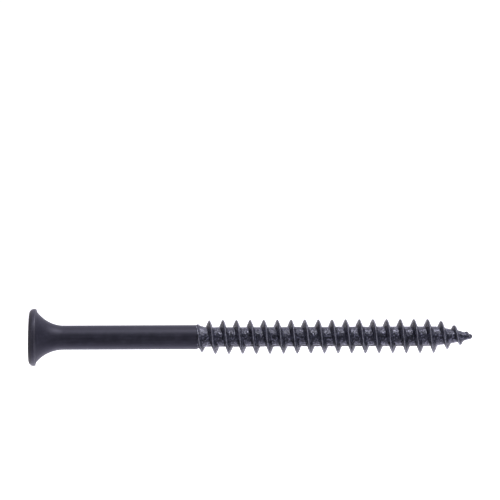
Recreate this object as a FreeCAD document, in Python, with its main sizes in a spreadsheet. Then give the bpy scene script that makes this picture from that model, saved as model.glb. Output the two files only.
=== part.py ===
import FreeCAD, Part

import math
import os
import re

import Sketcher

# Wood screw, No. 10 x 2-1/2 in, bugle head, cross recess No. 2, 13 threads per inch.
# Millimetres.  Every piece is drawn standing on its own Z axis, with the flat head face
# at Z = 0 and the point at Z = overall_length, and is laid down along +X by its
# Placement: the origin is the middle of the head face, the head face looks along -X.

DRIVING_DIMENSIONS = [
    ("overall_length", 63.5, "head face to the very tip"),
    ("head_diameter", 8.1, "largest diameter of the head"),
    ("head_edge_round", 0.69, "rounding between the flat face and the rim"),
    ("edge_width", 0.47, "width of that rounding, seen from above the face"),
    ("edge_depth", 0.65, "depth at which that rounding has reached the rim"),
    ("rim_end", 0.92, "depth at which the rim stops"),
    ("bugle_start", 1.08, "depth at which the trumpet curve starts"),
    ("bugle_radius", 5.0, "radius of the trumpet curve under the head"),
    ("bugle_end", 5.0, "depth at which the trumpet curve runs into the shank"),
    ("recess_span", 4.94, "across opposite wings of the recess at the head face"),
    ("wing_width", 1.1, "width of one wing"),
    ("wing_slope", 26.5, "degrees that the end of a wing leans inwards"),
    ("wing_depth", 2.72, "depth at which the ends of the wings stop"),
    ("recess_depth", 3.13, "depth at the bottom of the centre cone"),
    ("recess_inner_round", 0.85, "rounding of the four corners between the wings"),
    ("cutter_overrun", 0.2, "how far the recess cutter stands out of the head face"),
    ("shank_diameter", 3.43, "plain shank"),
    ("shank_end", 24.2, "where the plain shank stops"),
    ("shoulder_end", 25.3, "where the taper has come down to the root"),
    ("root_diameter", 2.74, "core between the ridges"),
    ("thread_diameter", 4.826, "over the crests"),
    ("thread_pitch", 1.9538, "13 threads per inch"),
    ("crest_land", 0.08, "flat on top of the ridge"),
    ("flank_angle", 42.0, "degrees between the two flanks of the ridge"),
    ("crest_station", 27.72, "a crest crosses the upper outline at this depth"),
    ("ridge_start", 23.95, "where the ridge rises out of the shank"),
    ("ridge_full", 27.8, "where the ridge has reached its full height"),
    ("rise_power", 2.6, "exponent of the crests' rise out of the shank"),
    ("ridge_taper", 57.95, "where the crests start to close in on the point"),
    ("ridge_finish", 62.95, "where the ridge stops on the point"),
    ("taper_power", 0.67, "exponent of the crests' curve towards the point"),
    ("ridge_least", 0.04, "height of the ridge where it rises out of the shank"),
    ("point_start", 58.2, "where the root starts to close in on the point"),
    ("waist_depth", 61.65, "depth of the ring where the point's slim cone turns into its nose"),
    ("waist_diameter", 1.5, "diameter of that ring"),
    ("tip_depth", 63.28, "depth of the ring where the rounded tip starts"),
    ("tip_diameter", 0.5, "diameter of that ring"),
]

SAMPLES_PER_TURN = 24
FOOT_ROUNDS = 8
RIDGE_CORNERS = 4
LEAST_RECESS_VOLUME = 5.0
UPPER_OUTLINE_ANGLE = 180.0
LAID_DOWN = FreeCAD.Placement(
    FreeCAD.Vector(0, 0, 0), FreeCAD.Rotation(FreeCAD.Vector(0, 1, 0), 90)
)

doc = FreeCAD.newDocument("wood_screw")


def make_sheet():
    """Put the driving dimensions into the sheet, one alias to a row."""
    sheet = doc.addObject("Spreadsheet::Sheet", "Sizes")
    for row, (alias, value, meaning) in enumerate(DRIVING_DIMENSIONS, start=1):
        sheet.set(f"A{row}", alias)
        sheet.set(f"B{row}", str(value))
        sheet.set(f"C{row}", meaning)
        sheet.setAlias(f"B{row}", alias)
    doc.recompute()
    return sheet


sizes = make_sheet()
size = {alias: float(sizes.get(alias)) for alias, _, _ in DRIVING_DIMENSIONS}


def bound(expression):
    """Point every alias in the expression at the sheet."""
    return re.sub(r"[a-z_]{4,}", lambda word: "Sizes." + word.group() if word.group() in size
                  else word.group(), str(expression))


def value_of(expression):
    return float(sizes.evalExpression(str(expression)))


# ---- sketch helpers ------------------------------------------------------------------

def origin_plane(body, role):
    return next(plane for plane in body.Origin.OriginFeatures if plane.Role == role)


def new_sketch(body, name, role):
    sketch = body.newObject("Sketcher::SketchObject", name)
    sketch.AttachmentSupport = [(origin_plane(body, role), "")]
    sketch.MapMode = "FlatFace"
    return sketch


def bind_distance(sketch, kind, geometry, end, expression):
    """Hold one end of a sketch element at a distance from the sketch's origin."""
    number = sketch.addConstraint(
        Sketcher.Constraint(kind, -1, 1, geometry, end, value_of(expression))
    )
    sketch.setExpression(f"Constraints[{number}]", bound(expression))


def arc_between(start, end, radius, centre_on_left):
    """The short arc from start to end, with its centre left or right of the way there."""
    chord = end - start
    middle = (start + end) * 0.5
    rise = math.sqrt(radius ** 2 - (chord.Length / 2) ** 2)
    sideways = FreeCAD.Vector(-chord.y, chord.x, 0).normalize()
    centre = middle + sideways * (rise if centre_on_left else -rise)
    first, last = (start, end) if centre_on_left else (end, start)
    angles = [math.atan2(point.y - centre.y, point.x - centre.x) for point in (first, last)]
    circle = Part.Circle(centre, FreeCAD.Vector(0, 0, 1), radius)
    return Part.ArcOfCircle(circle, angles[0], angles[1])


def closed_outline(sketch, corners):
    """
    Draw a closed outline.  Each corner is (across, along, curve), where across and along
    are expressions and curve describes the side that leaves the corner: None for a
    straight side, or (radius expression, "left" or "right" for the arc's centre).
    """
    points = [
        FreeCAD.Vector(value_of(across), value_of(along), 0) for across, along, _ in corners
    ]
    starts = []
    for place, (across, along, curve) in enumerate(corners):
        start = points[place]
        end = points[(place + 1) % len(points)]
        if curve is None:
            side = sketch.addGeometry(Part.LineSegment(start, end), False)
            ends = (1, 2)
        else:
            on_left = curve[1] == "left"
            arc = arc_between(start, end, value_of(curve[0]), on_left)
            side = sketch.addGeometry(arc, False)
            ends = (1, 2) if on_left else (2, 1)
            radius = sketch.addConstraint(
                Sketcher.Constraint("Radius", side, value_of(curve[0]))
            )
            sketch.setExpression(f"Constraints[{radius}]", bound(curve[0]))
        starts.append((side, ends))
    for place, (side, ends) in enumerate(starts):
        following, following_ends = starts[(place + 1) % len(starts)]
        sketch.addConstraint(
            Sketcher.Constraint("Coincident", side, ends[1], following, following_ends[0])
        )
    for (across, along, _), (side, ends) in zip(corners, starts):
        if value_of(across) == 0:
            sketch.addConstraint(Sketcher.Constraint("PointOnObject", side, ends[0], -2))
        else:
            bind_distance(sketch, "DistanceX", side, ends[0], across)
        if value_of(along) == 0:
            sketch.addConstraint(Sketcher.Constraint("PointOnObject", side, ends[0], -1))
        else:
            bind_distance(sketch, "DistanceY", side, ends[0], along)


def turned_body(name, corners):
    """A body turned about the Z axis from a half outline (radius, depth)."""
    body = doc.addObject("PartDesign::Body", name)
    sketch = new_sketch(body, name + "Outline", "XZ_Plane")
    closed_outline(sketch, corners)
    turned = body.newObject("PartDesign::Revolution", name + "Turned")
    turned.Profile = sketch
    turned.ReferenceAxis = (sketch, ["V_Axis"])
    turned.Angle = 360
    sketch.Visibility = False
    body.Placement = LAID_DOWN
    doc.recompute()
    return body


# ---- head ----------------------------------------------------------------------------

def make_recess_cutter():
    """The cross recess: a cross-shaped prism kept inside a drill-pointed cone."""
    cross = doc.addObject("PartDesign::Body", "RecessCross")
    for name, across, along in (
        ("WingsAcross", "recess_span / 2 + cutter_overrun", "wing_width / 2"),
        ("WingsUpright", "wing_width / 2", "recess_span / 2 + cutter_overrun"),
    ):
        sketch = new_sketch(cross, name + "Outline", "XY_Plane")
        corners = [
            (f"-({across})", f"-({along})", None),
            (across, f"-({along})", None),
            (across, along, None),
            (f"-({across})", along, None),
        ]
        closed_outline(sketch, corners)
        wings = cross.newObject("PartDesign::Pad", name)
        wings.Profile = sketch
        wings.setExpression("Length", bound("recess_depth + cutter_overrun"))
        doc.recompute()
    inner = size["wing_width"] / 2
    inner_edges = [
        f"Edge{number}"
        for number, edge in enumerate(cross.Shape.Edges, start=1)
        if all(math.isclose(abs(place), inner, abs_tol=1e-6)
               for vertex in edge.Vertexes for place in (vertex.X, vertex.Y))
    ]
    crossed_wings = cross.Tip
    rounding = cross.newObject("PartDesign::Fillet", "InnerRounding")
    rounding.Base = (crossed_wings, inner_edges)
    rounding.setExpression("Radius", bound("recess_inner_round"))
    cross.Tip = rounding
    cross.Placement = LAID_DOWN * FreeCAD.Placement(
        FreeCAD.Vector(0, 0, -size["cutter_overrun"]), FreeCAD.Rotation()
    )
    cone = turned_body("RecessCone", [
        ("0", "-cutter_overrun", None),
        ("recess_span / 2 + cutter_overrun * tan(wing_slope)", "-cutter_overrun", None),
        ("recess_span / 2 - wing_depth * tan(wing_slope)", "wing_depth", None),
        ("0", "recess_depth", None),
    ])
    cutter = doc.addObject("Part::MultiCommon", "RecessCutter")
    cutter.Shapes = [cross, cone]
    doc.recompute()
    return cutter


def make_head(cutter):
    """Flat face, rounded edge, short rim and the trumpet curve, less the recess."""
    bugle_drop = "sqrt(bugle_radius ^ 2 - (bugle_end - bugle_start) ^ 2)"
    blank = turned_body("HeadBlank", [
        ("0", "0", None),
        ("head_diameter / 2 - edge_width", "0", ("head_edge_round", "left")),
        ("head_diameter / 2", "edge_depth", None),
        ("head_diameter / 2", "rim_end", None),
        (f"shank_diameter / 2 + bugle_radius - {bugle_drop}", "bugle_start",
         ("bugle_radius", "right")),
        ("shank_diameter / 2", "bugle_end", None),
        ("0", "bugle_end", None),
    ])
    head = doc.addObject("Part::Cut", "Head")
    head.Base = blank
    head.Tool = cutter
    head.Label = "head"
    return head


# ---- shank, core and point -----------------------------------------------------------

def make_shank():
    """Plain shank with the short taper down to the root of the thread."""
    shank = turned_body("Shank", [
        ("0", "bugle_end", None),
        ("shank_diameter / 2", "bugle_end", None),
        ("shank_diameter / 2", "shank_end", None),
        ("root_diameter / 2", "shoulder_end", None),
        ("0", "shoulder_end", None),
    ])
    shank.Label = "shank"
    return shank


def make_core():
    """Straight core that the ridge winds round."""
    core = turned_body("Core", [
        ("0", "shoulder_end", None),
        ("root_diameter / 2", "shoulder_end", None),
        ("root_diameter / 2", "point_start", None),
        ("0", "point_start", None),
    ])
    core.Label = "core"
    return core


def make_point():
    """Slim cone, steeper nose and a slightly blunt tip."""
    tip_length = "(overall_length - tip_depth)"
    tip_radius = f"((tip_diameter / 2) ^ 2 + {tip_length} ^ 2) / (2 * {tip_length})"
    point = turned_body("Point", [
        ("0", "point_start", None),
        ("root_diameter / 2", "point_start", None),
        ("waist_diameter / 2", "waist_depth", None),
        ("tip_diameter / 2", "tip_depth", (tip_radius, "left")),
        ("0", "overall_length", None),
    ])
    point.Label = "point"
    return point


# ---- thread --------------------------------------------------------------------------

def surface_radius(depth):
    """Radius of the shank, shoulder, core or point under the ridge."""
    stations = [
        (size["shank_end"], size["shank_diameter"] / 2),
        (size["shoulder_end"], size["root_diameter"] / 2),
        (size["point_start"], size["root_diameter"] / 2),
        (size["waist_depth"], size["waist_diameter"] / 2),
        (size["tip_depth"], size["tip_diameter"] / 2),
    ]
    if depth <= stations[0][0]:
        return stations[0][1]
    for (near, near_radius), (far, far_radius) in zip(stations, stations[1:]):
        if depth <= far:
            share = (depth - near) / (far - near)
            return near_radius + share * (far_radius - near_radius)
    return stations[-1][1]


def crest_radius(depth):
    """Radius of the crest: it rises out of the shank and closes in on the point."""
    full = size["thread_diameter"] / 2
    if depth < size["ridge_full"]:
        low = size["shank_diameter"] / 2 + size["ridge_least"]
        share = (depth - size["ridge_start"]) / (size["ridge_full"] - size["ridge_start"])
        return low + (full - low) * (1 - (1 - share) ** size["rise_power"])
    if depth > size["ridge_taper"]:
        left = size["overall_length"] - depth
        whole = size["overall_length"] - size["ridge_taper"]
        return full * (left / whole) ** size["taper_power"]
    return full


def flank_foot(depth, outer, side):
    """Depth at which one flank of the ridge comes down to the surface under it."""
    slope = math.tan(math.radians(size["flank_angle"] / 2))
    foot = depth
    for _ in range(FOOT_ROUNDS):
        reach = size["crest_land"] / 2 + (outer - surface_radius(foot)) * slope
        foot = depth + side * reach
    return foot


def ridge_section(depth):
    """Foot, crest, crest and foot of the ridge where its middle is at this depth."""
    turns = (depth - size["crest_station"]) / size["thread_pitch"]
    angle = math.radians(UPPER_OUTLINE_ANGLE + 360 * turns)
    outer = crest_radius(depth)
    half_land = size["crest_land"] / 2
    near_foot = flank_foot(depth, outer, -1)
    far_foot = flank_foot(depth, outer, 1)
    corners = [
        (surface_radius(near_foot), near_foot),
        (outer, depth - half_land),
        (outer, depth + half_land),
        (surface_radius(far_foot), far_foot),
    ]
    return [
        FreeCAD.Vector(radius * math.cos(angle), radius * math.sin(angle), along)
        for radius, along in corners
    ]


def winding_face(first, second):
    """The ruled face between two corner lines of the ridge, which share their knots."""
    surface = Part.BSplineSurface()
    surface.buildFromPolesMultsKnots(
        [first.getPoles(), second.getPoles()],
        [2, 2], first.getMultiplicities(), [0.0, 1.0], first.getKnots(),
        False, False, 1, first.Degree,
    )
    return surface.toShape()


def make_thread():
    """The ridge as one winding solid that stands on the shank, the core and the point."""
    length = size["ridge_finish"] - size["ridge_start"]
    steps = round(length / size["thread_pitch"] * SAMPLES_PER_TURN)
    sections = [
        ridge_section(size["ridge_start"] + length * step / steps) for step in range(steps + 1)
    ]
    corner_lines = []
    for corner in range(RIDGE_CORNERS):
        line = Part.BSplineCurve()
        line.interpolate(
            Points=[section[corner] for section in sections],
            Parameters=[step / SAMPLES_PER_TURN for step in range(steps + 1)],
        )
        corner_lines.append(line)
    faces = [
        winding_face(corner_lines[corner], corner_lines[(corner + 1) % RIDGE_CORNERS])
        for corner in range(RIDGE_CORNERS)
    ]
    for section in (sections[0], sections[-1]):
        faces.append(Part.Face(Part.makePolygon(section + [section[0]])))
    shell = Part.makeShell(faces)
    shell.sewShape()
    if Part.makeSolid(shell).Volume < 0:
        shell.reverse()
    thread = doc.addObject("Part::Feature", "Thread")
    thread.Shape = Part.makeSolid(shell)
    thread.Placement = LAID_DOWN
    thread.Label = "thread"
    return thread


# ---- assembly, checks and export -----------------------------------------------------

head = make_head(make_recess_cutter())
shank = make_shank()
core = make_core()
point = make_point()
thread = make_thread()
doc.recompute()

for item in doc.Objects:
    if "Invalid" in item.State or "Error" in item.State:
        raise RuntimeError(f"{item.Name} did not recompute: {item.State}")

blank_volume = doc.getObject("HeadBlank").Shape.Volume
if head.Shape.Volume > blank_volume - LEAST_RECESS_VOLUME:
    raise RuntimeError("the recess has not been cut")

sub_parts = [head, shank, core, thread, point]
for sub_part in sub_parts:
    shape = sub_part.Shape
    if shape.isNull() or not shape.isValid() or len(shape.Solids) != 1:
        raise RuntimeError(f"{sub_part.Label} is not one valid solid")

os.makedirs("parts", exist_ok=True)
for sub_part in sub_parts:
    sub_part.Shape.exportStep(f"parts/{sub_part.Label}.step")
    print(f"{sub_part.Label}: {sub_part.Shape.Volume:.3f} mm3")
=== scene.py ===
import math

import bpy
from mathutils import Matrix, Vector, noise


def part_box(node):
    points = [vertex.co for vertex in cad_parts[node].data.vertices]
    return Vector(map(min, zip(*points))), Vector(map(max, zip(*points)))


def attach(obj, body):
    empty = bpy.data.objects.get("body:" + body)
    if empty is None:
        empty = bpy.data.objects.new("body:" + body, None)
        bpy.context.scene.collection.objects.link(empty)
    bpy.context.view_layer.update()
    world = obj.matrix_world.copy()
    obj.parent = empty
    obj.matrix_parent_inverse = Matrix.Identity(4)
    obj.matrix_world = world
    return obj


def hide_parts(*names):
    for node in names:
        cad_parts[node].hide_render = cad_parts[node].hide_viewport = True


# Wood screw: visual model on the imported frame.  Sizes in this script are millimetres, in
# the part's frame (head face at X = 0, point at +X), and become metres in loft().

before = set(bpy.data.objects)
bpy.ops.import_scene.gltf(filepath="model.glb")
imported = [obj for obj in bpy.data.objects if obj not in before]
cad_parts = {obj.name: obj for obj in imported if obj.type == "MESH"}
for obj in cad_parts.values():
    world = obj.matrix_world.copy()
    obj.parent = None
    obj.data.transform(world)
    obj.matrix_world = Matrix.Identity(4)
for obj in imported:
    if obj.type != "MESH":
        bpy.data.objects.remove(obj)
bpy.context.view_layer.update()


def station(node):
    """Near end, far end and radius of a CAD node that lies along X, in millimetres."""
    low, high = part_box(node)
    return low[0] * 1000, high[0] * 1000, (high[2] - low[2]) * 500


# ---- sizes from the frame ------------------------------------------------------------

_, BUGLE_END, BARE_HEAD = station("head")
_, SHOULDER_END, BARE_SHANK = station("shank")
_, POINT_START, BARE_ROOT = station("core")
RIDGE_START, _, BARE_CREST = station("thread")
_, TIP_END, _ = station("point")

# ---- sizes of the visible detail -----------------------------------------------------

# Points round a ring: an eighth of the recess's outline has four parts.
WING_END_STEPS = 4
WING_CORNER_STEPS = 8
WING_FLANK_STEPS = 12
INNER_CORNER_STEPS = 8
AROUND = 8 * (WING_END_STEPS + WING_CORNER_STEPS + WING_FLANK_STEPS + INNER_CORNER_STEPS)

# Head.  Its face and the ridge lean, with the top towards the point.
COAT = 0.025
ROOT_COAT = 0.05
CREST_COAT = 0.06
EDGE_ROUND = 0.69
EDGE_WIDTH = 0.47
EDGE_DEPTH = 0.65
EDGE_STEPS = 12
RIM_END = 0.92
RIM_RINGS = ((0.035, 0.05, 0.55, 0.0), (0.0, 0.015, 0.55, 0.12), (-0.08, 0.0, 0.6, 0.0))
EDGE_LINED_UP = 0.6
FLARE_LINED_UP = 0.5
BUGLE_START = 1.08
BUGLE_RADIUS = 5.0
FLARE_STEPS = 40
LEAN = 0.022
HEAD_LIFT = 0.08
STRIATION = 0.012
STRIATION_FINENESS = 14
BURNISHED = 0.05
LEAST_BURNISH = 0.3
FLAT_OUTSET = 0.42
FLAT_SHARES = (0.04, 0.3, 0.6, 0.85)
MATTE = -1.0

# Cross recess.
RECESS_HALF_SPAN = 2.46
RECESS_SLOPE = math.tan(math.radians(26.5))
WING_END_HALF_WIDTH = 0.50
WING_ROOT_HALF_WIDTH = 0.58
WING_END_ROUND = 0.20
RECESS_INNER_ROUND = 0.85
WING_DEPTH = 2.72
RECESS_DEPTH = 3.13
WING_END_DRAFT = 0.045
WING_ROOT_DRAFT = 0.05
WING_END_ROUND_DRAFT = 0.02
INNER_ROUND_DRAFT = 0.15
RECESS_STATIONS = (0.5, 1.0, 1.6, 2.2, 2.6, WING_DEPTH)
BOTTOM_SHARES = (0.75, 0.4)
MOUTH_BEVEL = 0.055
MOUTH_RINGS = ((0.005, MOUTH_BEVEL, 0.55), (0.02, MOUTH_BEVEL * 0.5, 1.0), (0.06, 0, 0.75))
MOUTH_FADE_DEPTH = 0.12
MOUTH_FADE_WEAR = 0.1
LIP_DISTANCE = 0.24
LIP_WIDTH = 0.05
LIP_HEIGHT = 0.014
LIP_WEAR = 1.5
LIP_OUTSETS = (FLAT_OUTSET, 0.36, 0.31, 0.27, LIP_DISTANCE, 0.19, 0.15, 0.11, 0.08)
LIP_FADE_STEPS = 6

# Shank, shoulder and core.
SHANK_END = 24.2
PLAIN_END = SHANK_END - 0.4
SHOULDER_FROM = SHANK_END - 0.35
COLLAR_STATION = 24.22
COLLAR_WIDTH = 0.11
COLLAR_HEIGHT = 0.14
COLLAR_MEAN = 0.1
COLLAR_TILT = 1.2
ROLLING_RUN_IN = 0.5
# Painted highlight: a bright, glossy patch painted on the top front of the shoulder.
SHOULDER_HIGHLIGHT_STATION = 24.8
SHOULDER_HIGHLIGHT_WIDTH = 0.3
SHOULDER_HIGHLIGHT_ANGLE = math.radians(38)
SHOULDER_HIGHLIGHT_HALF_ANGLE = math.radians(12)
SHOULDER_HIGHLIGHT_STRENGTH = 1.3
SHANK_SPACING = 0.5
SHOULDER_SPACING = 0.05
SMOOTH_SHOULDER_RINGS = 6
CORE_SPACING = 0.1
POINT_SPACING = 0.05
END_FADE = 0.5
TIP_FADE = 0.6
SHOULDER_DENT_SIZE = 0.35
SHOULDER_DENT_DEPTH = 0.06
ROOT_DENT_SIZE = 0.8
CORE_DENT_DEPTH = 0.035
POINT_DENT_DEPTH = 0.03

# Thread.
PITCH = 25.4 / 13
CREST_STATION = 27.72
CREST_ROUND = 0.055
BLUNTER_AT_TIP = 0.8
BLUNTING_LENGTH = 3
FLANK_SLOPE = math.tan(math.radians(20.0))
FLANK_BULGE = 0.02
FOOT_SPREAD = 0.07
FOOT_HEIGHT = 0.06
TIP_TIGHTENING = 0.0105
TIP_TIGHTENING_START = 59.5
POINT_DROOP = 0.07
FOOT_BURIED = 0.05
LEAST_RIDGE = 0.02
RIDGE_FULL = 27.8
RISE_POWER = 3.8
RIDGE_TAPER = 57.9
TAPER_POWER = 0.57
RIDGE_STOP = 0.3
LAST_TURN = 62.0
LAST_TURN_LENGTH = 0.6
LAST_TURN_LOSS = 0.15
FLANK_SHARES = (0.0, 0.03, 0.07, 0.12, 0.2, 0.35, 0.55, 0.75, 0.9)
DOME_ANGLES = (math.radians(70), math.radians(35), 0.0)
CREST_UNEVENNESS = 0.02
UNEVENNESS_RATE = 1.7
UNEVENNESS_ROW = 4.1
RIDGE_DENT_SIZE = 0.5
RIDGE_DENT_DEPTH = 0.03
CREST_WEAR_STEPS = 3
SEAM_ANGLE = math.radians(67)
SEAM_HALF_ANGLE = math.radians(10)
SEAM_DEPTH = 0.02
# Painted highlight: a thin bright line painted beside the seam.  The seam line itself is painted
# dark as painted shade.
SEAM_HIGHLIGHT = 0.45
SEAM_HIGHLIGHT_PLACE = 1.5
SEAM_HIGHLIGHT_WIDTH = 0.35
RIDGE_STEPS_PER_TURN = 120
# Painted shade on the ridge's flanks on the lower side of the screw, more on the flank facing
# the head.
NEAR_FLANK_SHADE = 0.75
FAR_FLANK_SHADE = 0.42

# Point.
WAIST_DEPTH = 61.65
WAIST_RADIUS = 0.82
NOSE_DEPTH = 63.2
NOSE_RADIUS = 0.35
TIP_STEPS = 6

HEAD_RADIUS = BARE_HEAD + COAT
SHANK_RADIUS = BARE_SHANK + COAT
ROOT_RADIUS = BARE_ROOT + ROOT_COAT
CREST_RADIUS = BARE_CREST + CREST_COAT


# ---- mesh helpers --------------------------------------------------------------------

def loft(name, rings, materials, wear=None, sharp_rings=(), second_from=None):
    """
    One closed mesh through rings of equal length, closed by a fan at each end.  wear
    holds one list per ring: above 0 the coating is worn bright, and in places a highlight is
    painted;
    below 0 it is matte on smooth steel and painted shade on rolled steel.  The second
    material starts at ring number second_from.
    """
    count = len(rings[0])
    points = [point for ring in rings for point in ring]
    faces = []
    for ring in range(len(rings) - 1):
        for place in range(count):
            following = (place + 1) % count
            faces.append((
                ring * count + place, ring * count + following,
                (ring + 1) * count + following, (ring + 1) * count + place,
            ))
    for ring, turned in ((0, True), (len(rings) - 1, False)):
        middle = len(points)
        points.append(sum((Vector(point) for point in rings[ring]), Vector()) / count)
        for place in range(count):
            pair = (ring * count + place, ring * count + (place + 1) % count)
            faces.append((pair[1], pair[0], middle) if turned else (*pair, middle))
    mesh = bpy.data.meshes.new(name)
    mesh.from_pydata([Vector(point) / 1000 for point in points], [], faces)
    mesh.polygons.foreach_set("use_smooth", [True] * len(mesh.polygons))
    first_of_sharp = {ring * count for ring in sharp_rings}
    ring_points = len(rings) * count
    for edge in mesh.edges:
        starts = {vertex - vertex % count for vertex in edge.vertices}
        in_one_ring = len(starts) == 1 and max(edge.vertices) < ring_points
        if in_one_ring and starts <= first_of_sharp:
            edge.use_edge_sharp = True
    worn = mesh.attributes.new("wear", "FLOAT", "POINT")
    values = [value for ring in wear for value in ring] if wear else [0.0] * (len(points) - 2)
    worn.data.foreach_set("value", values + [0.0, 0.0])
    mesh.validate()
    piece = bpy.data.objects.new(name, mesh)
    bpy.context.scene.collection.objects.link(piece)
    for material in materials:
        mesh.materials.append(material)
    if second_from is not None:
        for face in mesh.polygons:
            face.material_index = int(min(face.vertices) >= second_from * count)
    return piece


def circle(depth, radius, angles=None):
    """Ring of points about the X axis."""
    if angles is None:
        angles = [2 * math.pi * place / AROUND for place in range(AROUND)]
    return [
        (depth, -radius * math.sin(angle), radius * math.cos(angle)) for angle in angles
    ]


def ease(value):
    """Smooth step from 0 to 1."""
    value = min(max(value, 0.0), 1.0)
    return value * value * (3 - 2 * value)


def between(first, second, share):
    """Point a share of the way from the first point to the second."""
    return tuple(a + (b - a) * share for a, b in zip(first, second))


def dent(point, size, depth):
    """Gentle unevenness of a forged or rolled surface at a point."""
    return depth * noise.noise(Vector(point) / size)


def install(piece, node):
    """Put a visible piece in the place of its CAD node."""
    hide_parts(node)
    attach(piece, "root")


# ---- materials -----------------------------------------------------------------------

SMOOTH_TONES = [
    (0.34, (0.008, 0.008, 0.013)), (0.52, (0.013, 0.013, 0.021)), (0.66, (0.021, 0.021, 0.032)),
]
ROLLED_TONES = [
    (0.36, (0.004, 0.005, 0.008)), (0.50, (0.009, 0.010, 0.017)), (0.66, (0.020, 0.021, 0.035)),
]
WORN_STEEL = (0.62, 0.58, 0.62)
# Worn crests; the same colour also paints a highlight patch on the shoulder and a highlight line
# beside the seam.
CREST_WEAR_AND_HIGHLIGHT = (0.20, 0.20, 0.24)
CRYSTAL = (0.25, 0.25, 0.35)
# Painted shade: the near-black colour below is painted on the ridge's lower flanks and along the
# seam line, by the two levels after it.
SHADE_COLOUR = (0.001, 0.001, 0.002)
FULLY_SHADED = -0.7
BARELY_SHADED = -0.1
SMOOTH_SPECULAR_TINT = (0.80, 0.78, 1.0, 1)
ROLLED_SPECULAR_TINT = (0.82, 0.82, 1.0, 1)


class Nodes:
    """Short way to add and join shader nodes."""

    def __init__(self, name):
        self.material = bpy.data.materials.new(name)
        self.material.use_nodes = True
        self.tree = self.material.node_tree
        self.shader = self.tree.nodes["Principled BSDF"]

    def add(self, kind, inputs=None, **settings):
        node = self.tree.nodes.new(kind)
        for key, value in settings.items():
            setattr(node, key, value)
        for key, value in (inputs or {}).items():
            if isinstance(value, bpy.types.NodeSocket):
                self.tree.links.new(value, node.inputs[key])
            else:
                node.inputs[key].default_value = value
        return node

    def link(self, output, key):
        self.tree.links.new(output, self.shader.inputs[key])

    def millimetres(self, scale):
        """Object coordinates counted in millimetres, stretched by scale."""
        place = self.add("ShaderNodeTexCoord").outputs["Object"]
        stretch = tuple(1000 * value for value in scale)
        return self.add("ShaderNodeMapping", {"Vector": place, "Scale": stretch}).outputs[0]

    def noise(self, scale, detail, roughness=0.5, stretch=(1, 1, 1)):
        return self.add("ShaderNodeTexNoise", {
            "Vector": self.millimetres(stretch), "Scale": scale, "Detail": detail,
            "Roughness": roughness,
        }).outputs["Fac"]

    def ramp(self, factor, stops):
        node = self.add("ShaderNodeValToRGB", {"Fac": factor})
        elements = node.color_ramp.elements
        while len(elements) < len(stops):
            elements.new(0.5)
        for element, (position, colour) in zip(elements, stops):
            element.position = position
            element.color = (*colour, 1)
        return node.outputs["Color"]

    def level(self, factor, low, high, to_low=0.0, to_high=1.0):
        return self.add("ShaderNodeMapRange", {
            "Value": factor, "From Min": low, "From Max": high,
            "To Min": to_low, "To Max": to_high,
        }).outputs["Result"]

    def math(self, operation, first, second):
        return self.add(
            "ShaderNodeMath", {0: first, 1: second}, operation=operation
        ).outputs[0]

    def mix(self, factor, first, second):
        node = self.add("ShaderNodeMix", data_type="RGBA")
        for key, value in ((0, factor), (6, first), (7, second)):
            if isinstance(value, bpy.types.NodeSocket):
                self.tree.links.new(value, node.inputs[key])
            else:
                node.inputs[key].default_value = value if key == 0 else (*value, 1)
        return node.outputs[2]

    def bump(self, layers):
        """Bump from (height, depth in millimetres) layers, one on top of another."""
        normal = None
        for height, depth in layers:
            inputs = {"Height": height, "Distance": depth / 1000, "Strength": 1.0}
            if normal is not None:
                inputs["Normal"] = normal
            normal = self.add("ShaderNodeBump", inputs).outputs["Normal"]
        self.link(normal, "Normal")


def smooth_phosphate():
    """Phosphate on the drawn and forged steel: satin, faint lengthwise streaks."""
    nodes = Nodes("phosphate_smooth")
    cloud = nodes.noise(0.9, 4, 0.6)
    streak = nodes.noise(1.0, 3, 0.6, stretch=(0.12, 4, 4))
    grain = nodes.noise(16, 3, 0.6)
    tone = nodes.math(
        "ADD", nodes.math("MULTIPLY", cloud, 0.6), nodes.math("MULTIPLY", streak, 0.4)
    )
    colour = nodes.ramp(tone, SMOOTH_TONES)
    worn = nodes.add("ShaderNodeAttribute", attribute_name="wear").outputs["Fac"]
    patchy = nodes.math("MULTIPLY", worn, nodes.level(nodes.noise(5, 3), 0.3, 0.6, 0.35, 1.0))
    nodes.link(nodes.mix(patchy, colour, WORN_STEEL), "Base Color")
    dull = nodes.level(worn, 0.0, BURNISHED, 1.0, 0.8)
    rough = nodes.level(tone, 0.35, 0.65, 0.46, 0.56)
    nodes.link(nodes.math("MULTIPLY", rough, dull), "Roughness")
    shine = nodes.math(
        "ADD", nodes.level(worn, 0.0, BURNISHED, 0.43, 0.50),
        nodes.level(worn, MATTE, 0.0, -0.2, 0.0),
    )
    nodes.link(shine, "Specular IOR Level")
    nodes.shader.inputs["Specular Tint"].default_value = SMOOTH_SPECULAR_TINT
    nodes.bump([(cloud, 0.012), (streak, 0.004), (grain, 0.005)])
    return nodes.material


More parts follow.
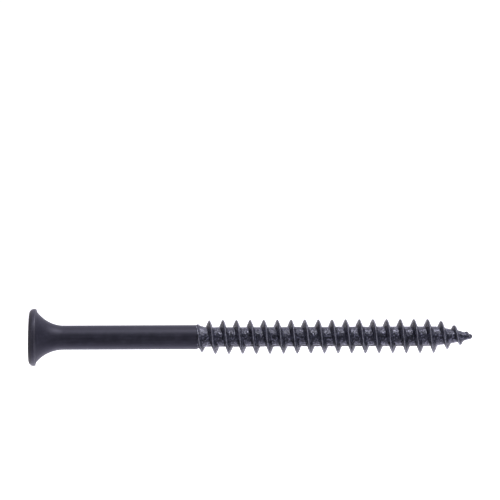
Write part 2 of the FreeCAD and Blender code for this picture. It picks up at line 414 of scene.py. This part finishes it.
def rolled_phosphate():
    """Phosphate on the rolled thread: coarser, oily, with bright crystal specks, worn crests,
    painted highlights and painted shade from the wear attribute.
    """
    nodes = Nodes("phosphate_rolled")
    cloud = nodes.noise(1.8, 4, 0.6)
    fleck = nodes.noise(4.8, 1, 0.5)
    grain = nodes.noise(14, 3, 0.6)
    colour = nodes.ramp(cloud, ROLLED_TONES)
    specks = nodes.level(fleck, 0.55, 0.63, 0.0, 0.4)
    colour = nodes.mix(specks, colour, CRYSTAL)
    worn = nodes.add("ShaderNodeAttribute", attribute_name="wear").outputs["Fac"]
    patches = nodes.noise(4, 3)
    patchy = nodes.math("MULTIPLY", worn, nodes.level(patches, 0.35, 0.6, 0.3, 1.0))
    # Worn crests, and painted highlights on the shoulder and beside the seam.
    colour = nodes.mix(patchy, colour, CREST_WEAR_AND_HIGHLIGHT)
    # Painted shade: negative wear darkens the lower flanks and the seam line towards near black,
    # in patches, and dims their specular.
    shade_patches = nodes.level(patches, 0.35, 0.5, 0.6, 1.0)
    shade_amount = nodes.level(worn, FULLY_SHADED, BARELY_SHADED, 1.0, 0.0)
    shaded = nodes.math("MULTIPLY", shade_amount, shade_patches)
    nodes.link(nodes.mix(shaded, colour, SHADE_COLOUR), "Base Color")
    nodes.link(nodes.level(fleck, 0.42, 0.60, 0.44, 0.10), "Roughness")
    nodes.link(nodes.level(shaded, 0.0, 1.0, 0.66, 0.03), "Specular IOR Level")
    nodes.shader.inputs["Specular Tint"].default_value = ROLLED_SPECULAR_TINT
    nodes.bump([(cloud, 0.06), (fleck, 0.09), (grain, 0.010)])
    return nodes.material


def stage_white():
    """Matt white floor that glows a little."""
    nodes = Nodes("studio_floor")
    nodes.shader.inputs["Base Color"].default_value = (0.93, 0.93, 0.93, 1)
    nodes.shader.inputs["Roughness"].default_value = 0.9
    nodes.shader.inputs["Specular IOR Level"].default_value = 0.1
    nodes.shader.inputs["Emission Color"].default_value = (1, 1, 1, 1)
    nodes.shader.inputs["Emission Strength"].default_value = 0.5
    return nodes.material


SMOOTH = smooth_phosphate()
ROLLED = rolled_phosphate()


# ---- head ----------------------------------------------------------------------------

def cross_eighth(half_span, end_width, root_width, end_round, inner_round):
    """Outline of the recess from the middle of a wing's end to the diagonal."""
    corner = (half_span - end_round, end_width - end_round)
    inner = root_width + inner_round
    lean = math.atan2(root_width - end_width, corner[0] - inner)
    points = [
        (half_span, corner[1] * step / WING_END_STEPS) for step in range(WING_END_STEPS)
    ]
    for step in range(WING_CORNER_STEPS):
        angle = (math.pi / 2 - lean) * step / WING_CORNER_STEPS
        points.append((
            corner[0] + end_round * math.cos(angle), corner[1] + end_round * math.sin(angle),
        ))
    flank_start = (
        corner[0] + end_round * math.sin(lean), corner[1] + end_round * math.cos(lean),
    )
    first_angle = math.pi / 2 + lean
    flank_end = (
        inner - inner_round * math.cos(first_angle), inner - inner_round * math.sin(first_angle),
    )
    for step in range(WING_FLANK_STEPS):
        points.append(between(flank_start, flank_end, step / WING_FLANK_STEPS))
    for step in range(INNER_CORNER_STEPS + 1):
        angle = first_angle + (math.pi / 4 - first_angle) * step / INNER_CORNER_STEPS
        points.append((
            inner - inner_round * math.cos(angle), inner - inner_round * math.sin(angle),
        ))
    return points


def cross_outline(depth, outset):
    """The recess's outline at a depth, pushed outwards into the steel by outset."""
    eighth = cross_eighth(
        RECESS_HALF_SPAN - depth * RECESS_SLOPE + outset,
        WING_END_HALF_WIDTH - WING_END_DRAFT * depth + outset,
        WING_ROOT_HALF_WIDTH - WING_ROOT_DRAFT * depth + outset,
        WING_END_ROUND - WING_END_ROUND_DRAFT * depth + outset,
        RECESS_INNER_ROUND - INNER_ROUND_DRAFT * depth - outset,
    )
    quarter = eighth[:-1] + [(up, across) for across, up in reversed(eighth[1:])]
    outline = []
    for cosine, sine in ((1, 0), (0, 1), (-1, 0), (0, -1)):
        for across, up in quarter:
            outline.append((across * cosine - up * sine, across * sine + up * cosine))
    return outline


def wing_end_window(place):
    """1 at the end of each wing, falling to 0 along its flanks."""
    quarter = AROUND // 4
    from_wing = min(place % quarter, quarter - place % quarter)
    return 1 - ease((from_wing - WING_END_STEPS) / LIP_FADE_STEPS)


def face_ring(depth, outline):
    """Ring of points at one depth through an outline that is seen end-on."""
    return [(depth, -up, across) for across, up in outline]


def striation(angle):
    """Fine drawing marks round the head's edge."""
    place = Vector((math.cos(angle), math.sin(angle), 0)) * STRIATION_FINENESS
    return STRIATION * noise.noise(place)


class HeadRings:
    """Rings of the head and their wear, from the shank over the face into the recess."""

    def __init__(self):
        self.rings = []
        self.wear = []
        mouth = cross_outline(0, 0)
        self.mouth_angles = [math.atan2(up, across) % (2 * math.pi) for across, up in mouth]
        self.even_angles = [2 * math.pi * place / AROUND for place in range(AROUND)]

    def add(self, ring, worn=0.0, share=1.0):
        """Add a ring, with a share of the head's lean and lift."""
        self.rings.append([
            (depth + share * LEAN * up, across, up + share * HEAD_LIFT)
            for depth, across, up in ring
        ])
        self.wear.append([worn] * AROUND)

    def angles(self, share):
        """Where a ring's points lie: from evenly spread to lined up with the mouth's."""
        return [
            even + (own - even) * share
            for even, own in zip(self.even_angles, self.mouth_angles)
        ]

    def add_flare(self):
        """Trumpet curve from the shank out to the rim."""
        for step in range(FLARE_STEPS + 1):
            depth = BUGLE_END + (BUGLE_START - BUGLE_END) * step / FLARE_STEPS
            drop = math.sqrt(BUGLE_RADIUS ** 2 - (BUGLE_END - depth) ** 2)
            share = step / FLARE_STEPS
            angles = self.angles(FLARE_LINED_UP * share)
            ring = circle(depth, SHANK_RADIUS + BUGLE_RADIUS - drop, angles)
            self.add(ring, share=ease(share))

    def add_rim(self):
        """Short rim with a small round where it meets the flare."""
        for past_end, inset, lined_up, worn in RIM_RINGS:
            angles = self.angles(lined_up)
            self.add(circle(RIM_END + past_end, HEAD_RADIUS - inset, angles), worn)

    def add_edge(self):
        """Rounded edge from the rim to the face, burnished more and more."""
        arc_middle = HEAD_RADIUS - EDGE_ROUND
        last_angle = math.acos((EDGE_ROUND - EDGE_WIDTH) / EDGE_ROUND)
        for step in range(EDGE_STEPS + 1):
            angle = last_angle * step / EDGE_STEPS
            depth = EDGE_DEPTH * (1 - math.sin(angle) / math.sin(last_angle))
            around = self.angles(EDGE_LINED_UP + (1 - EDGE_LINED_UP) * step / EDGE_STEPS)
            ring = circle(depth, arc_middle + EDGE_ROUND * math.cos(angle), around)
            fade = math.sin(math.pi * step / EDGE_STEPS)
            swells = [1 + striation(place) * fade / HEAD_RADIUS for place in around]
            burnish = LEAST_BURNISH + (1 - LEAST_BURNISH) * step / EDGE_STEPS
            self.add([
                (depth, across * swell, up * swell)
                for (depth, across, up), swell in zip(ring, swells)
            ], BURNISHED * burnish)

    def add_face(self):
        """Matte face, then the lips that the punch has raised at the wings' ends."""
        rim = circle(0, HEAD_RADIUS - EDGE_WIDTH, self.mouth_angles)
        outer = face_ring(0, cross_outline(0, FLAT_OUTSET))
        for share in FLAT_SHARES:
            self.add([between(near, far, share) for near, far in zip(rim, outer)], MATTE)
        for outset in LIP_OUTSETS:
            lift = LIP_HEIGHT * math.exp(-((outset - LIP_DISTANCE) / LIP_WIDTH) ** 2)
            ring = face_ring(0, cross_outline(0, outset))
            self.add([
                (depth - lift * wing_end_window(place), across, up)
                for place, (depth, across, up) in enumerate(ring)
            ])
            self.wear[-1] = [
                MATTE + LIP_WEAR * wing_end_window(place) * lift / LIP_HEIGHT
                for place in range(AROUND)
            ]

    def add_recess(self):
        """Bevelled mouth with a worn edge, leaning wings and the cone at the bottom."""
        for depth, outset, worn in MOUTH_RINGS:
            self.add(face_ring(depth, cross_outline(0, outset)), worn)
        below_mouth = cross_outline(MOUTH_FADE_DEPTH, 0)
        self.add(face_ring(MOUTH_FADE_DEPTH, below_mouth), MOUTH_FADE_WEAR)
        for depth in RECESS_STATIONS:
            self.add(face_ring(depth, cross_outline(depth, 0)))
        bottom = cross_outline(WING_DEPTH, 0)
        for share in BOTTOM_SHARES:
            self.add(face_ring(
                RECESS_DEPTH - (RECESS_DEPTH - WING_DEPTH) * share,
                [(across * share, up * share) for across, up in bottom],
            ))


def make_head():
    """Trumpet flare, rim, rounded edge, face with punched lips, bevelled cross recess."""
    head = HeadRings()
    head.add_flare()
    head.add_rim()
    head.add_edge()
    edge_of_face = len(head.rings) - 1
    head.add_face()
    head.add_recess()
    piece = loft("head_forged", head.rings, [SMOOTH], head.wear, (0, edge_of_face))
    install(piece, "head")


# ---- shank, core and point -----------------------------------------------------------

def seam(across, up):
    """How far a point lies from the seam left by the rolling dies, in half widths."""
    angle = math.atan2(-up, -across)
    return (angle - SEAM_ANGLE) / SEAM_HALF_ANGLE


def droop(depth):
    """How far the pinched point hangs below the axis."""
    return POINT_DROOP * ease((depth - POINT_START) / (TIP_END - POINT_START))


def turned_piece(name, node, profile, materials, move, worn=None, second_from=None):
    """
    A round piece.  move(along, across, up) is how far its surface is pushed out there,
    and worn(along, across, up) its wear value, which also carries painted highlight and shade.
    """
    rings = []
    wear = []
    for depth, radius in profile:
        ring = circle(depth, radius)
        swells = [1 + move(*point) / radius for point in ring]
        rings.append([
            (along, across * swell, up * swell - droop(along))
            for (along, across, up), swell in zip(ring, swells)
        ])
        wear.append([worn(*point) if worn else 0.0 for point in ring])
    last = len(rings) - 1
    piece = loft(name, rings, materials, wear, (0, last), second_from)
    install(piece, node)


def surface_radius(depth):
    """Radius under the ridge: shank, shoulder, core, slim cone, nose."""
    stations = [
        (SHANK_END, SHANK_RADIUS), (SHOULDER_END, ROOT_RADIUS), (POINT_START, ROOT_RADIUS),
        (WAIST_DEPTH, WAIST_RADIUS), (NOSE_DEPTH, NOSE_RADIUS), (TIP_END, 0.0),
    ]
    if depth <= SHANK_END:
        return SHANK_RADIUS
    for (near, near_radius), (far, far_radius) in zip(stations, stations[1:]):
        if depth <= far:
            share = (depth - near) / (far - near)
            return near_radius + share * (far_radius - near_radius)
    return 0.0


def collar(depth, up):
    """Lip that the dies push up where the shoulder starts: high on top, a nick below."""
    height = COLLAR_HEIGHT * (COLLAR_MEAN + COLLAR_TILT * up / SHANK_RADIUS)
    return height * math.exp(-((depth - COLLAR_STATION) / COLLAR_WIDTH) ** 2)


def spaced(near, far, step):
    """Stations from near to far, about a step apart."""
    count = max(1, round((far - near) / step))
    return [near + (far - near) * place / count for place in range(count + 1)]


def make_shank():
    """Plain drawn shank, then the rolled shoulder with a painted highlight patch on its top
    front.
    """
    plain = [(depth, SHANK_RADIUS) for depth in spaced(BUGLE_END, PLAIN_END, SHANK_SPACING)]
    shoulder = [
        (depth, surface_radius(depth))
        for depth in spaced(SHOULDER_FROM, SHOULDER_END, SHOULDER_SPACING)
    ]

    def move(along, across, up):
        rolled = ease((along - SHANK_END + ROLLING_RUN_IN) / ROLLING_RUN_IN)
        depth = SHOULDER_DENT_DEPTH * rolled
        return collar(along, up) + dent((along, across, up), SHOULDER_DENT_SIZE, depth)

    # Painted highlight: a bright patch on the shoulder's top front, passed on as wear.
    def worn(along, across, up):
        angle = math.atan2(up, -across) - SHOULDER_HIGHLIGHT_ANGLE
        place = along - SHOULDER_HIGHLIGHT_STATION
        spread = (angle / SHOULDER_HIGHLIGHT_HALF_ANGLE) ** 2 + (place / SHOULDER_HIGHLIGHT_WIDTH) ** 2
        return SHOULDER_HIGHLIGHT_STRENGTH * math.exp(-spread)

    turned_piece(
        "shank_drawn", "shank", plain + shoulder, [SMOOTH, ROLLED], move, worn,
        second_from=len(plain) + SMOOTH_SHOULDER_RINGS,
    )


def make_core():
    """Core with the rough root of the thread and the seam groove along its lower side, with a
    painted highlight line beside it and painted shade along it.
    """
    profile = [
        (depth, ROOT_RADIUS) for depth in spaced(SHOULDER_END, POINT_START, CORE_SPACING)
    ]

    def inside(along):
        return ease((along - SHOULDER_END) / END_FADE) * ease((POINT_START - along) / END_FADE)

    def move(along, across, up):
        groove = SEAM_DEPTH * math.exp(-seam(across, up) ** 2)
        rough = dent((along, across, up), ROOT_DENT_SIZE, CORE_DENT_DEPTH)
        return inside(along) * (rough - groove)

    # Painted highlight line beside the seam, and painted shade along the seam line itself.
    def worn(along, across, up):
        distance = seam(across, up)
        painted_highlight = SEAM_HIGHLIGHT * math.exp(-((distance + SEAM_HIGHLIGHT_PLACE) / SEAM_HIGHLIGHT_WIDTH) ** 2)
        return inside(along) * (painted_highlight - math.exp(-distance ** 4))

    turned_piece("core_rolled", "core", profile, [ROLLED], move, worn)


def make_point():
    """Slim cone and nose, ending in a small rounded tip."""
    profile = [
        (depth, surface_radius(depth))
        for depth in spaced(POINT_START, NOSE_DEPTH, POINT_SPACING)
    ]
    length = TIP_END - NOSE_DEPTH
    for step in range(1, TIP_STEPS + 1):
        angle = math.pi / 2 * step / (TIP_STEPS + 0.5)
        profile.append((NOSE_DEPTH + length * math.sin(angle), NOSE_RADIUS * math.cos(angle)))

    def move(along, across, up):
        share = ease((along - POINT_START) / END_FADE) * ease((TIP_END - along) / TIP_FADE)
        return dent((along, across, up), ROOT_DENT_SIZE, POINT_DENT_DEPTH * share)

    turned_piece("point_pinched", "point", profile, [ROLLED], move)


# ---- thread --------------------------------------------------------------------------

def crest_radius(depth):
    """Radius of the crest: it rises out of the shank and closes in on the point."""
    if depth < RIDGE_FULL:
        share = (depth - RIDGE_START) / (RIDGE_FULL - RIDGE_START)
        return SHANK_RADIUS + (CREST_RADIUS - SHANK_RADIUS) * (1 - (1 - share) ** RISE_POWER)
    if depth > RIDGE_TAPER:
        share = (TIP_END - depth) / (TIP_END - RIDGE_TAPER)
        worn_end = 1 - LAST_TURN_LOSS * ease((depth - LAST_TURN) / LAST_TURN_LENGTH)
        return CREST_RADIUS * share ** TAPER_POWER * worn_end
    return CREST_RADIUS


def ridge_profile(depth):
    """Section of the ridge as (radius, shift along X), from one foot over to the other."""
    crest = crest_radius(depth)
    place = Vector((depth * UNEVENNESS_RATE, UNEVENNESS_ROW, 0))
    crest += CREST_UNEVENNESS * noise.noise(place)
    bed = surface_radius(depth)
    height = max(crest - bed, LEAST_RIDGE)
    blunting = ease((depth - POINT_START) / BLUNTING_LENGTH)
    top_round = CREST_ROUND * (1 + BLUNTER_AT_TIP * blunting)
    side = []
    for share in FLANK_SHARES:
        half = top_round + (1 - share) * height * FLANK_SLOPE
        half += FLANK_BULGE * math.sin(math.pi * share) * min(height, 1)
        half += FOOT_SPREAD * math.exp(-share * height / FOOT_HEIGHT)
        side.append((bed + share * height, half))
    dome = [
        (crest - top_round * (1 - math.cos(angle)), top_round * math.sin(angle))
        for angle in DOME_ANGLES
    ]
    half_section = [(bed - FOOT_BURIED, side[0][1])] + side + dome
    near = [(radius, -half) for radius, half in half_section]
    far = [(radius, half) for radius, half in reversed(half_section[:-1])]
    return near + far


def ridge_wear_and_shade(angle, count):
    """Wear over a section of the ridge: bright worn crest, and painted shade on the flanks on
    the lower side.
    """
    middle = count // 2
    lower_side = ease(-math.cos(angle))
    values = []
    for place in range(count):
        from_crest = abs(place - middle)
        if from_crest < CREST_WEAR_STEPS:
            values.append(1 - from_crest / CREST_WEAR_STEPS)
        else:
            shade_amount = NEAR_FLANK_SHADE if place < middle else FAR_FLANK_SHADE
            values.append(-lower_side * shade_amount)
    return values


def make_thread():
    """The ridge: rolled flanks, a thin rounded crest and feet that run into the core."""
    finish = TIP_END - RIDGE_STOP
    steps = round((finish - RIDGE_START) / PITCH * RIDGE_STEPS_PER_TURN)
    rings = []
    wear = []
    for step in range(steps + 1):
        depth = RIDGE_START + (finish - RIDGE_START) * step / steps
        turns = (depth - CREST_STATION) / PITCH
        turns += TIP_TIGHTENING * max(0.0, depth - TIP_TIGHTENING_START) ** 2
        angle = 2 * math.pi * turns
        ring = []
        for radius, shift in ridge_profile(depth):
            up = radius * math.cos(angle)
            point = Vector((depth + shift, -radius * math.sin(angle), up - droop(depth)))
            point.x += dent(point, RIDGE_DENT_SIZE, RIDGE_DENT_DEPTH) + LEAN * up
            ring.append(point)
        rings.append(ring)
        wear.append(ridge_wear_and_shade(angle, len(ring)))
    install(loft("thread_ridge", rings, [ROLLED], wear, sharp_rings=(0, steps)), "thread")


# ---- stage ---------------------------------------------------------------------------

VIEW_WIDTH = 71.63
LENS = 300
SENSOR = 36
LOOK_AT = (31.7, 12.45)
ROLL = math.radians(0.25)
FLOOR_HALF_SIZE = 6.0
ROOM_LIGHT = 3.6
CAMERA_WHITE = 1.05
ROOM_ALONG_X = [
    (0.10, (0.19, 0.17, 0.15)), (0.30, (0.38, 0.36, 0.39)), (0.42, (0.72, 0.70, 0.82)),
    (0.55, (0.88, 0.86, 1.00)), (0.75, (0.61, 0.59, 0.70)), (0.95, (0.30, 0.29, 0.35)),
]
ROOM_ALONG_Y = [
    (0.0, (0.035,) * 3), (0.085, (0.09,) * 3), (0.25, (0.29,) * 3), (0.42, (0.56,) * 3),
    (0.60, (0.95,) * 3), (0.90, (1.0,) * 3),
]
ROOM_ALONG_Z = [(0.0, (1.0,) * 3), (0.15, (0.92,) * 3), (0.45, (0.52,) * 3), (1.0, (0.45,) * 3)]
SCREW_MIDDLE = (0.032, 0, 0)
SOFTBOX_PLACE = (0.15, -0.19, 0.41)
SOFTBOX_SIZE = (0.24, 0.09)
SOFTBOX_WATTS = 1.9


def make_floor():
    """Flat floor that the head rests on."""
    size = FLOOR_HALF_SIZE
    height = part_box("head")[0][2]
    mesh = bpy.data.meshes.new("studio_floor")
    corners = [(-size, -size), (size, -size), (size, size), (-size, size)]
    mesh.from_pydata([(across, along, height) for across, along in corners], [], [(0, 1, 2, 3)])
    floor = bpy.data.objects.new("studio_floor", mesh)
    mesh.materials.append(stage_white())
    bpy.context.scene.collection.objects.link(floor)
    floor.visible_glossy = False


def make_world():
    """
    White surroundings for the camera.  Light and reflections come from a room that is dark
    on the camera's side (towards -Y) and bright behind, brightest in the middle of its
    length and dimmer at both ends, full below and about half as bright above.
    """
    world = bpy.data.worlds.new("studio_world")
    bpy.context.scene.world = world
    world.use_nodes = True
    tree = world.node_tree
    background = tree.nodes["Background"]
    path = tree.nodes.new("ShaderNodeLightPath")
    place = tree.nodes.new("ShaderNodeTexCoord")
    split = tree.nodes.new("ShaderNodeSeparateXYZ")
    tree.links.new(place.outputs["Generated"], split.inputs[0])
    room = None
    for axis, stops in (("X", ROOM_ALONG_X), ("Y", ROOM_ALONG_Y), ("Z", ROOM_ALONG_Z)):
        share = tree.nodes.new("ShaderNodeMapRange")
        share.inputs["From Min"].default_value = -1
        tree.links.new(split.outputs[axis], share.inputs["Value"])
        ramp = tree.nodes.new("ShaderNodeValToRGB")
        tree.links.new(share.outputs["Result"], ramp.inputs["Fac"])
        elements = ramp.color_ramp.elements
        while len(elements) < len(stops):
            elements.new(0.5)
        for element, (position, colour) in zip(elements, stops):
            element.position = position
            element.color = (*colour, 1)
        if room is None:
            room = ramp.outputs["Color"]
            continue
        product = tree.nodes.new("ShaderNodeVectorMath")
        product.operation = "MULTIPLY"
        tree.links.new(room, product.inputs[0])
        tree.links.new(ramp.outputs["Color"], product.inputs[1])
        room = product.outputs["Vector"]
    mix = tree.nodes.new("ShaderNodeMix")
    mix.data_type = "RGBA"
    mix.inputs[7].default_value = (*[CAMERA_WHITE / ROOM_LIGHT] * 3, 1)
    tree.links.new(path.outputs["Is Camera Ray"], mix.inputs[0])
    tree.links.new(room, mix.inputs[6])
    tree.links.new(mix.outputs[2], background.inputs["Color"])
    background.inputs["Strength"].default_value = ROOM_LIGHT


def softbox(name, place, target, size, power):
    """Rectangular lamp that is aimed at the target."""
    light = bpy.data.lights.new(name, "AREA")
    light.shape = "RECTANGLE"
    light.size, light.size_y = size
    light.energy = power
    lamp = bpy.data.objects.new(name, light)
    lamp.location = place
    aim = Vector(target) - Vector(place)
    lamp.rotation_euler = aim.to_track_quat("-Z", "Y").to_euler()
    bpy.context.scene.collection.objects.link(lamp)


def make_camera():
    """Long lens, level with the screw, far off on the -Y side."""
    camera = bpy.data.cameras.new("photo_camera")
    camera.lens = LENS
    camera.sensor_width = SENSOR
    camera.clip_start = 0.01
    camera.clip_end = 50
    rig = bpy.data.objects.new("photo_camera", camera)
    distance = VIEW_WIDTH * LENS / SENSOR
    rig.location = (LOOK_AT[0] / 1000, -distance / 1000, LOOK_AT[1] / 1000)
    rig.rotation_euler = (math.pi / 2, ROLL, 0)
    bpy.context.scene.collection.objects.link(rig)
    bpy.context.scene.camera = rig


make_head()
make_shank()
make_core()
make_point()
make_thread()
make_floor()
make_world()
softbox("key_softbox", SOFTBOX_PLACE, SCREW_MIDDLE, SOFTBOX_SIZE, SOFTBOX_WATTS)
make_camera()
bpy.context.scene.view_settings.view_transform = "Standard"
